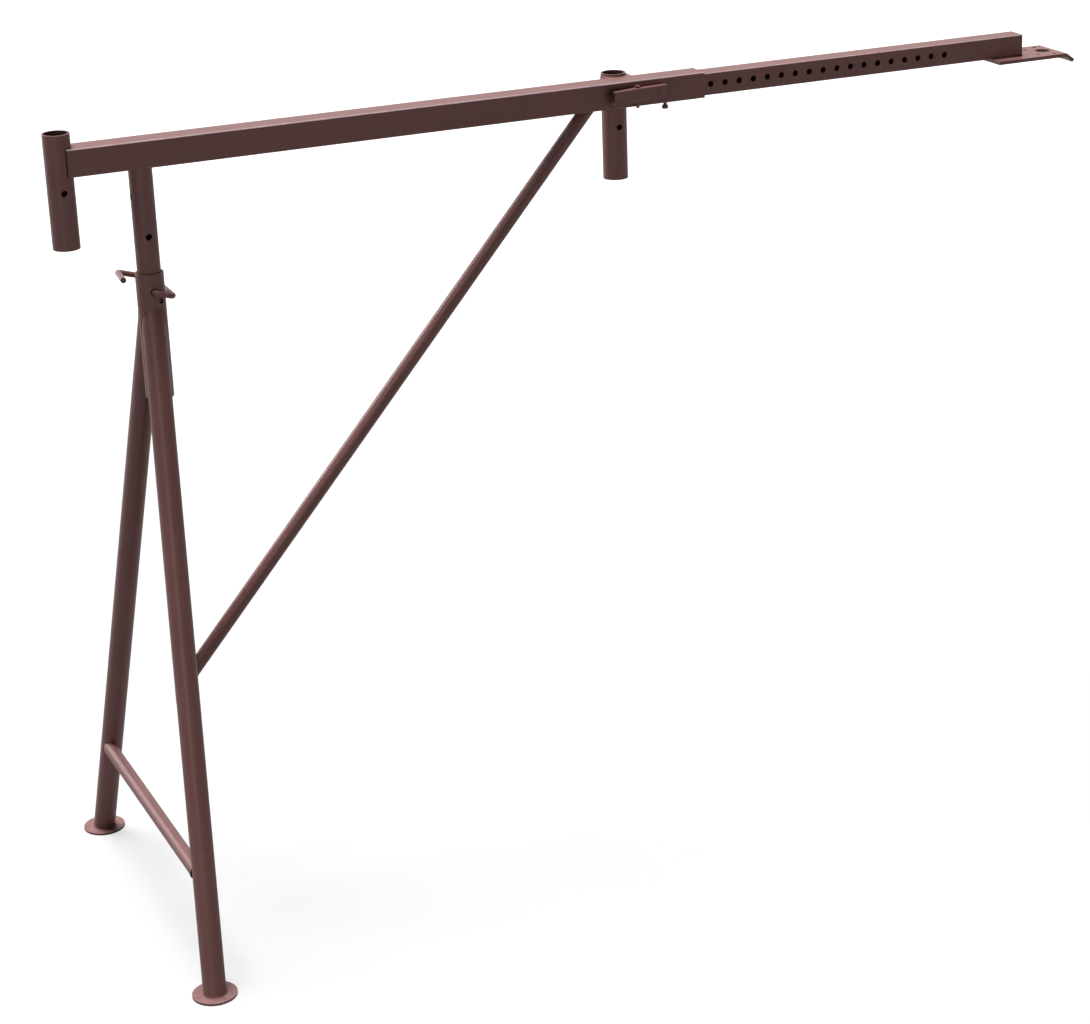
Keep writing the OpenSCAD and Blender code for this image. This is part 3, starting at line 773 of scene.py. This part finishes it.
@dataclass
class BeamFrame:
    """The outer beam, mast, brace and sockets, in millimetres from the outer beam's end."""

    half: float = 25.0
    mast_x: float = 132.4
    mast_r: float = 21.2
    brace_x: float = 997.4
    brace_drop: float = 992.0
    brace_r: float = 13.45
    socket_r: float = 24.15
    socket_bore: float = 20.95
    mast_bore: float = 18.0
    end_socket_x: float = -10.0
    end_socket_top: float = 51.0
    mid_socket_x: float = 1078.0
    mid_socket_y: float = 49.25
    mid_socket_top: float = 29.0
    gusset_top: float = 24.5
    gusset_t: float = 6.0
    gusset_run: tuple[float, float] = (27.0, 11.0)
    gusset_arc: tuple[float, float] = (8.0, 68.0)
    end_arc: float = 64.0
    seam_x: float = 6.5
    seam_half: float = 24.0
    notch_x: float = -0.6
    notch_y: float = 22.9
    pivot_x: float = 1089.0
    lug_half: float = 7.0
    lug_edges: tuple[float, ...] = (9.7, 5.7, -5.7, -9.7)
    shade_from: float = 1034.0
    clamp_x: float = 1163.0
    nut_r: float = 5.4
    thin_bead: float = 0.2
    bead: float = 0.3
    thick_bead: float = 0.4
    gusset_lap: float = 1.0
    gusset_edge: float = 0.8

    def brace_welds(self) -> list[Route]:
        """Weld paths at both ends of the brace.

        Returns:
            The closed paths in metres.
        """
        low = Vector((self.mast_x, 0.0, -self.half - self.brace_drop))
        along = Vector((self.brace_x - self.mast_x, 0.0, self.brace_drop)).normalized()
        one, two = across(along)
        ring = [low + self.brace_r * (math.cos(t) * one + math.sin(t) * two) for t in turns(48)]
        upper = [p + along * ((-self.half - self.bead - p.z) / along.z) for p in ring]
        lower = [exit_from_tube(p, along, low, Vector((0, 0, 1)), self.mast_r, True) for p in ring]
        return [([from_beam(*p) for p in path], True) for path in (upper, lower)]

    def arc(self, x: float, y: float, z: float, radius: float, start: float, end: float, count: int) -> Path:
        """Points on a level arc.

        Args:
            x: The centre along the beam.
            y: The centre to the rear.
            z: The height.
            radius: The arc's radius.
            start: The first angle in degrees.
            end: The last angle in degrees.
            count: The number of points.

        Returns:
            The points in metres.
        """
        angles = [math.radians(start + (end - start) * i / (count - 1)) for i in range(count)]
        return [from_beam(x + radius * math.cos(a), y + radius * math.sin(a), z) for a in angles]

    def circle(self, x: float, z: float, radius: float, count: int) -> Path:
        """Points in metres on a level circle below the beam's axis."""
        return self.arc(x, 0, z, radius, 0, 360 - 360 / count, count)

    def socket_welds(self) -> list[Route]:
        """Weld paths round the end socket, the middle socket and its gussets.

        Returns:
            The paths in metres, each with whether it is closed.
        """
        x, radius, reach = self.end_socket_x, self.socket_r, self.end_arc
        top = self.arc(x, 0, self.half, radius, -reach, reach, 30)
        bottom = self.arc(x, 0, -self.half, radius, reach, -reach, 30)
        paths: list[Route] = [(top, False), (bottom, False)]
        x, y, z = self.mid_socket_x, self.mid_socket_y, self.gusset_top
        low = z - self.gusset_t
        near, far = self.gusset_arc
        for side in (-1, 1):
            seam_x = x + side * self.seam_x
            heights = (-self.seam_half, low - self.gusset_lap)
            paths.append(([from_beam(seam_x, self.half + self.thick_bead, h) for h in heights], False))
            turn = (near - 180, far - 180) if side < 0 else (-far, -near)
            paths.append((self.arc(x, y, z, radius + self.bead, *turn, 20), False))
            corner = (self.half - self.gusset_lap, z - self.gusset_edge)
            for edge_y, edge_z in ((self.half + self.bead, low), corner):
                run = [from_beam(x + side * off, edge_y, edge_z) for off in self.gusset_run]
                paths.append((run, False))
        return paths

    def end_seams(self) -> list[Route]:
        """Dark lines of painted shade in the notches between the end socket and the beam's sides.

        Returns:
            The open paths in metres.
        """
        heights = (-self.seam_half, self.seam_half)
        sides = (-self.notch_y, self.notch_y)
        return [([from_beam(self.notch_x, y, z) for z in heights], False) for y in sides]

    def small_welds(self) -> list[Route]:
        """Weld paths at the mast's top, the latch lugs and the clamp nut.

        Returns:
            The paths in metres, each with whether it is closed.
        """
        skin = -self.half - self.thin_bead
        paths = [(self.circle(self.mast_x, -self.half - self.bead, self.mast_r, 48), True),
                 (self.circle(self.clamp_x, skin, self.nut_r, 24), True)]
        ends = (self.pivot_x - self.lug_half, self.pivot_x + self.lug_half)
        paths.extend(([from_beam(x, skin, z) for x in ends], False) for z in self.lug_edges)
        return paths


@dataclass
class Extension:
    """The inner beam's end on the wall plate, in millimetres from the outer beam's end."""

    half: float = 21.5
    end_x: float = 1961.0
    lap: float = 72.0
    bend_x: float = 2051.0
    nail_r: float = 2.7
    nails: tuple[tuple[float, float], ...] = ((53.0, 25.5), (53.0, -25.5), (21.5, 36.0), (21.5, -36.0))
    inset: float = 0.1
    rise: float = 0.7
    nail_drop: float = 0.5

    def seams(self) -> list[Route]:
        """Dark lines of painted shade along the beam's foot on the plate and in the nail holes.

        Returns:
            The paths in metres, each with whether it is closed.
        """
        edge, low = self.half - self.inset, self.rise - self.half
        begin, end = self.end_x - self.lap, self.end_x
        corners = ((begin, -edge), (end, -edge), (end, edge), (begin, edge))
        paths: list[Route] = [([from_beam(x, y, low) for x, y in corners], False)]
        radius, z = self.nail_r, -self.half - self.nail_drop
        for back, y in self.nails:
            x = self.bend_x - back
            ring = [from_beam(x + radius * math.cos(t), y + radius * math.sin(t), z) for t in turns(24)]
            paths.append((ring, True))
        return paths


@dataclass
class Latch:
    """The sprung latch on the beam's front face, in millimetres."""

    spring_x: float = 1051.0
    spring_near: float = -25.8
    spring_far: float = -44.45
    spring_r: float = 4.5
    spring_turns: int = 6
    points_per_turn: int = 36
    closing: float = 0.045
    wire_r: float = 0.7
    seat_y: float = -25.0
    plug_x: float = 1127.4
    plug_r: float = 5.25
    pivot_x: float = 1089.0
    pivot_y: float = -34.0
    front: float = 10.8
    angle: float = 6.0

    def coil(self) -> Path:
        """The spring's axis, with its end turns drawn closed.

        Returns:
            The points in metres.
        """
        points = []
        count = self.points_per_turn * self.spring_turns
        for i in range(count + 1):
            part = i / count
            eased = part - self.closing * math.sin(2 * math.pi * part)
            turn = 2 * math.pi * self.spring_turns * part
            x = self.spring_x + self.spring_r * math.cos(turn)
            y = self.spring_near + (self.spring_far - self.spring_near) * eased
            points.append(from_beam(x, y, self.spring_r * math.sin(turn)))
        return points

    def plug_seam(self) -> Path:
        """The outline of the lock pin's head on the channel's front face.

        Returns:
            The closed path in metres.
        """
        angle = math.radians(self.angle)
        face_y, slope = self.pivot_y - self.front / math.cos(angle), math.tan(angle)
        points = []
        for t in turns(48):
            x = self.plug_x + self.plug_r * math.cos(t)
            points.append(from_beam(x, face_y + (x - self.pivot_x) * slope, self.plug_r * math.sin(t)))
        return points


@dataclass
class ClampScrew:
    """The thread that shows between the clamp screw's nut and head, in millimetres."""

    x: float = 1163.0
    radius: float = 2.95
    top: float = -30.2
    bottom: float = -32.8
    pitch: float = 1.0
    points_per_turn: int = 24

    def thread(self) -> Path:
        """The thread's ridge.

        Returns:
            The points in metres.
        """
        windings = (self.top - self.bottom) / self.pitch
        count = int(self.points_per_turn * windings)
        points = []
        for i in range(count + 1):
            turn = 2 * math.pi * windings * i / count
            x = self.x + self.radius * math.cos(turn)
            z = self.top + (self.bottom - self.top) * i / count
            points.append(from_beam(x, self.radius * math.sin(turn), z))
        return points


# Stage


@dataclass(frozen=True)
class SoftBox:
    """A square lamp: where it stands and points, its power in watts, its side and whether it shows only in gloss."""

    name: str
    place: Point
    target: Point
    power: float
    side: float
    sheen: bool = True


SOFT_BOXES = (
    SoftBox("back_left", (-2.56, 3.47, 1.5), (-0.95, 0.0, 0.5), power=28.0, side=1.6, sheen=False),
    SoftBox("high_left", (-2.7, 2.8, 3.0), (-0.45, 0.0, 0.96), power=62.0, side=1.2),
    SoftBox("left", (-3.4, -2.1, 3.6), (-0.45, 0.0, 0.96), power=26.0, side=1.6),
    SoftBox("front_left", (-3.2, -4.5, 1.8), (-0.95, -0.2, 0.8), power=24.0, side=1.8),
)


@dataclass
class Studio:
    """A pale floor, soft light and the camera at the photo's angle."""

    eye: Point = (-2.095357, -4.539335, 2.546956)
    right: Point = (0.896413, -0.442760, -0.020175)
    forward: Point = (0.408283, 0.842613, -0.351153)
    sensor: float = 36.0
    lens: float = 88.54
    shift: tuple[float, float] = (-0.1, -0.02)
    ambient: float = 0.125
    backdrop: tuple[float, float] = (-0.1, 0.8)
    backdrop_gain: float = 0.64
    backdrop_base: float = 0.1
    sun_strength: float = 4.7
    sun_angle: float = 34.0
    sun_place: Point = (-0.6, 0.9, 6.0)
    tint: RGB = (0.98, 0.94, 1.0)
    floor_reach: float = 40.0
    floor_drop: float = 0.0005
    floor_fade: tuple[float, float] = (2.2, 5.0)
    floor_gloss: float = 0.2
    pale: float = 0.26
    glow: float = 0.62

    def camera(self) -> None:
        """Makes the scene's camera."""
        data = bpy.data.cameras.new("camera")
        data.sensor_width = self.sensor
        data.lens = self.lens
        data.shift_x, data.shift_y = self.shift
        data.dof.use_dof = False
        right, forward = Vector(self.right).normalized(), Vector(self.forward).normalized()
        up = right.cross(forward).normalized()
        camera = bpy.data.objects.new("camera", data)
        turn = Matrix((right, up, -forward)).transposed()
        camera.matrix_world = Matrix.Translation(self.eye) @ turn.to_4x4()
        bpy.context.scene.collection.objects.link(camera)
        bpy.context.scene.camera = camera

    def soft_box(self, box: SoftBox) -> None:
        """Makes a soft box that the camera doesn't see.

        Args:
            box: The soft box.
        """
        data = bpy.data.lights.new(box.name, "AREA")
        data.energy = box.power
        data.color = self.tint
        data.shape = "RECTANGLE"
        data.size = data.size_y = box.side
        self.aim(data, box.place, box.target).visible_diffuse = not box.sheen

    def overhead(self) -> None:
        """Makes the broad light from above, with very soft shadows."""
        data = bpy.data.lights.new("overhead", "SUN")
        data.energy = self.sun_strength
        data.angle = math.radians(self.sun_angle)
        self.aim(data, self.sun_place, (0.0, 0.0, 0.0))

    def aim(self, data: bpy.types.Light, place: Point, target: Point) -> bpy.types.Object:
        """Puts a light in the scene.

        Args:
            data: The light.
            place: Where it stands.
            target: Where it points.

        Returns:
            The lamp.
        """
        lamp = bpy.data.objects.new(data.name, data)
        lamp.location = place
        lamp.rotation_euler = (Vector(target) - Vector(place)).to_track_quat("-Z", "Y").to_euler()
        lamp.visible_camera = False
        bpy.context.scene.collection.objects.link(lamp)
        return lamp

    def seen(self, nodes: Nodes, gloss: object) -> bpy.types.NodeSocket:
        """Makes a value that is 1 to the camera and through glass, and less in gloss.

        Args:
            nodes: The tree's nodes.
            gloss: The value in gloss, a socket or a number.

        Returns:
            The value's socket.
        """
        path = nodes.add("ShaderNodeLightPath")
        clear = nodes.math("MAXIMUM", path.outputs["Is Camera Ray"], path.outputs["Is Transmission Ray"])
        return nodes.math("MAXIMUM", clear, nodes.math("MULTIPLY", path.outputs["Is Glossy Ray"], gloss))

    def world(self) -> None:
        """Makes a world that is white to the camera, and in gloss bright behind the object and dim before it."""
        world = bpy.data.worlds.new("studio")
        world.use_nodes = True
        bpy.context.scene.world = world
        nodes = Nodes(world.node_tree)
        split = nodes.add("ShaderNodeSeparateXYZ")
        nodes.link(nodes.add("ShaderNodeTexCoord").outputs["Generated"], split.inputs[0])
        behind = nodes.math("MULTIPLY", nodes.ramp(split.outputs["Y"], *self.backdrop), self.backdrop_gain)
        shown = self.seen(nodes, nodes.math("ADD", behind, self.backdrop_base))
        back = nodes.add("ShaderNodeBackground", Color=(1.0, 1.0, 1.0, 1.0))
        nodes.link(nodes.math("MAXIMUM", shown, self.ambient), back.inputs["Strength"])
        leave = nodes.add("ShaderNodeOutputWorld")
        nodes.link(back.outputs[0], leave.inputs["Surface"])

    def floor(self) -> None:
        """Makes the pale floor, which shows white to the camera and keeps the shadow."""
        mesh = bpy.data.meshes.new("floor")
        reach = self.floor_reach
        corners = [(-reach, -reach, 0), (reach, -reach, 0), (reach, reach, 0), (-reach, reach, 0)]
        mesh.from_pydata(corners, [], [(0, 1, 2, 3)])
        floor = bpy.data.objects.new("floor", mesh)
        bpy.context.scene.collection.objects.link(floor)
        floor.location.z = -self.floor_drop
        material = bpy.data.materials.new("pale_floor")
        material.use_nodes = True
        nodes = Nodes(material.node_tree)
        matt = nodes.add("ShaderNodeBsdfDiffuse", Color=(self.pale, self.pale, self.pale, 1.0))
        glow = nodes.add("ShaderNodeEmission", Color=(1.0, 1.0, 1.0, 1.0))
        away = nodes.add("ShaderNodeVectorMath", operation="LENGTH")
        nodes.link(nodes.add("ShaderNodeTexCoord").outputs["Object"], away.inputs[0])
        far = nodes.math("MULTIPLY", nodes.ramp(away.outputs["Value"], *self.floor_fade), 1.0 - self.glow)
        level = nodes.math("ADD", far, self.glow)
        shown = self.seen(nodes, self.floor_gloss)
        nodes.link(nodes.math("MULTIPLY", shown, level), glow.inputs["Strength"])
        both = nodes.add("ShaderNodeAddShader")
        nodes.link(matt.outputs[0], both.inputs[0])
        nodes.link(glow.outputs[0], both.inputs[1])
        leave = nodes.add("ShaderNodeOutputMaterial")
        nodes.link(both.outputs[0], leave.inputs["Surface"])
        mesh.materials.append(material)

    def build(self) -> None:
        """Sets the view, the light, the floor and the camera."""
        bpy.context.scene.view_settings.view_transform = "Standard"
        self.world()
        self.floor()
        self.overhead()
        for box in SOFT_BOXES:
            self.soft_box(box)
        self.camera()


# The whole part


BAR_NODES = ("locking_pin", "pivot_pin", "pivot_clip", "lock_pin", "clamp_screw", "clamp_nut")
BORE_SLACK = 0.2


def own_finishes(beam: BeamFrame) -> dict[str, bpy.types.Material]:
    """Makes the finishes of the square beams, the dustier feet and the upright tubes with open ends, with their
    painted highlight, top light and shade.

    Args:
        beam: The beam frame's sizes.

    Returns:
        The finish of each such node.
    """
    bore = beam.socket_bore
    places = {"end_socket": (beam.end_socket_x, 0.0, bore, beam.end_socket_top),
              "mast": (beam.mast_x, 0.0, beam.mast_bore, beam.end_socket_top),
              "middle_socket": (beam.mid_socket_x, beam.mid_socket_y, bore, beam.mid_socket_top)}
    # Painted shade on the beam's front, behind and left of the latch.
    begin, end = from_beam(beam.shade_from, 0.0, 0.0), from_beam(beam.pivot_x, 0.0, 0.0)
    behind = PaintedShade(begin.x, end.x, begin.z)
    # The beam's finish paints a highlight along its top edges.
    square = replace(TUBE_ENAMEL, name="beam_enamel", edge=0.85, painted_shade=behind).make()
    # The feet get more dust, which also paints light on their tops.
    disc = replace(TUBE_ENAMEL, name="foot_enamel", dust_and_top_light=0.8).make()
    finishes = {"outer_beam": square, "inner_beam": square, "front_foot": disc, "rear_foot": disc}
    # The upright tubes get painted shade inside.
    for name, (x, y, bore, top) in places.items():
        spot = from_beam(x, y, top)
        inside = Bore(spot.x, spot.y, (bore + BORE_SLACK) / MM_PER_M, spot.z)
        finishes[name] = replace(TUBE_ENAMEL, name=name + "_enamel", bore=inside).make()
    return finishes


def dress_nodes(
    tube: bpy.types.Material, bar: bpy.types.Material, own: dict[str, bpy.types.Material]
) -> None:
    """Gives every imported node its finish.

    Args:
        tube: The finish of tubes and plates.
        bar: The finish of pins, screws and other bright-rubbed pieces.
        own: Finishes of single nodes.
    """
    for name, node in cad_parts.items():
        material = own.get(name) or (bar if name in BAR_NODES else tube)
        if node.material_slots:
            for slot in node.material_slots:
                slot.material = material
        else:
            node.data.materials.append(material)
        LOG.info("%s: %s", name, material.name)


def weld_piece(name: str, body: Body, material: bpy.types.Material, wave: float) -> SweptPiece:
    """Sets up a weld bead with ripples of a given length in metres."""
    return SweptPiece(name, body, Slot.PAINT, material, radius=0.0012, step=0.0007, ripple=0.16, ripple_length=wave)


def seam_piece(name: str, body: Body, material: bpy.types.Material, radius: float, step: float) -> SweptPiece:
    """Sets up a thin dark line of painted shade with a given radius and distance between its rings, in metres."""
    return SweptPiece(name, body, Slot.PAINT, material, radius, step, sides=6)


def add_frame_pieces(
    tree: bpy.types.NodeTree, beam: BeamFrame, weld: bpy.types.Material, shade: bpy.types.Material
) -> None:
    """Adds the welds of the legs and the beam, and the dark seams of painted shade on the legs, the beam and the
    wall plate.

    Args:
        tree: The sweep's geometry tree.
        beam: The beam frame's sizes.
        weld: The welds' finish.
        shade: The seams' finish.
    """
    legs, extension = LegFrame(), Extension()
    rims = legs.pin_rims() + [(legs.sleeve_rim(), True)]
    beam_paths = beam.brace_welds() + beam.socket_welds() + beam.small_welds()
    weld_piece("leg_welds", Body.LEGS, weld, wave=0.0024).build(tree, legs.welds())
    # Painted shade: dark rings at the pin holes and round the mast.
    seam_piece("leg_seams", Body.LEGS, shade, radius=0.0006, step=0.0006).build(tree, rims)
    weld_piece("beam_welds", Body.BEAM, weld, wave=0.0022).build(tree, beam_paths)
    # Painted shade: dark lines in the end socket's notches, along the beam's foot on the plate and in the nail
    # holes.
    seam_piece("beam_seams", Body.BEAM, shade, radius=0.0009, step=0.002).build(tree, beam.end_seams())
    seam_piece("plate_seams", Body.EXTENSION, shade, radius=0.001, step=0.001).build(tree, extension.seams())


def add_latch_pieces(tree: bpy.types.NodeTree, shade: bpy.types.Material, wire: bpy.types.Material) -> None:
    """Adds the latch's spring, which stands in for the imported one, and the seam round its lock pin.

    Args:
        tree: The sweep's geometry tree.
        shade: The seam's finish.
        wire: The spring's finish.
    """
    latch = Latch()
    thickness = latch.wire_r / MM_PER_M
    coil = SweptPiece("latch_coil", Body.BEAM, Slot.STEEL, wire, radius=thickness, step=0.0006, sides=10)
    spring = coil.build(tree, [(latch.coil(), False)])
    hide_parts("latch_spring")
    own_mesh(spring)
    plug = seam_piece("lock_plug_seam", Body.LATCH, shade, radius=0.0003, step=0.0006)
    plug.build(tree, [(latch.plug_seam(), True)])


def main() -> None:
    """Builds the finishes, the added pieces and the studio in order."""
    logging.basicConfig(level=logging.INFO, format="%(name)s: %(message)s")
    for make_group in (make_grain_group, make_wear_and_light_group, make_bore_group, make_painted_shade_group):
        make_group()
    tube, bar, weld = TUBE_ENAMEL.make(), BAR_ENAMEL.make(), WELD_ENAMEL.make()
    shade, wire = SEAM_SHADE.make(), SPRING_WIRE.make()
    tree = make_sweep_tree()
    beam = BeamFrame()
    dress_nodes(tube, bar, own_finishes(beam))
    add_frame_pieces(tree, beam, weld, shade)
    add_latch_pieces(tree, shade, wire)
    thread = SweptPiece("clamp_thread", Body.SCREW, Slot.STEEL, bar, radius=0.00032, step=0.0004, sides=6)
    thread.build(tree, [(ClampScrew().thread(), False)])
    Studio().build()


if __name__ == "__main__":
    main()
